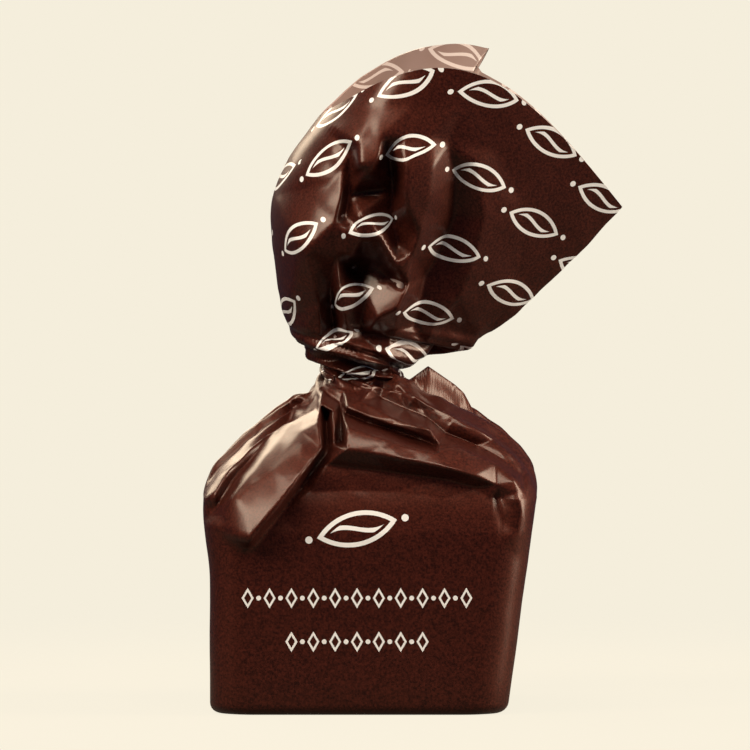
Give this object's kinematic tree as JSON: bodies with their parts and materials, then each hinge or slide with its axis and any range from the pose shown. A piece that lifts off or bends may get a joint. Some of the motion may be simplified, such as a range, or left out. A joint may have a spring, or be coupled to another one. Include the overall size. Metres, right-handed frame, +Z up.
{
  "type": "wrapped chocolate truffle",
  "caption": "Square chocolate truffle in a dark brown film wrapper, gathered and twisted to a neck, with the free end opening above it as a lopsided cornet.",
  "frame": {"origin": "centre of the flat base that the wrapped truffle stands on", "axes": "+Z up through the twisted neck, -Y out of the front panel, +X to the viewer's right, where the cornet's fold points"},
  "size_m": [0.035, 0.0274, 0.055],
  "materials": {
    "printed_film": "satin-gloss dark brown printed polypropylene film, white print, paler unprinted inside"
  },
  "bodies": {
    "root": {"wrapped_truffle": "printed_film"}
  },
  "joints": []
}
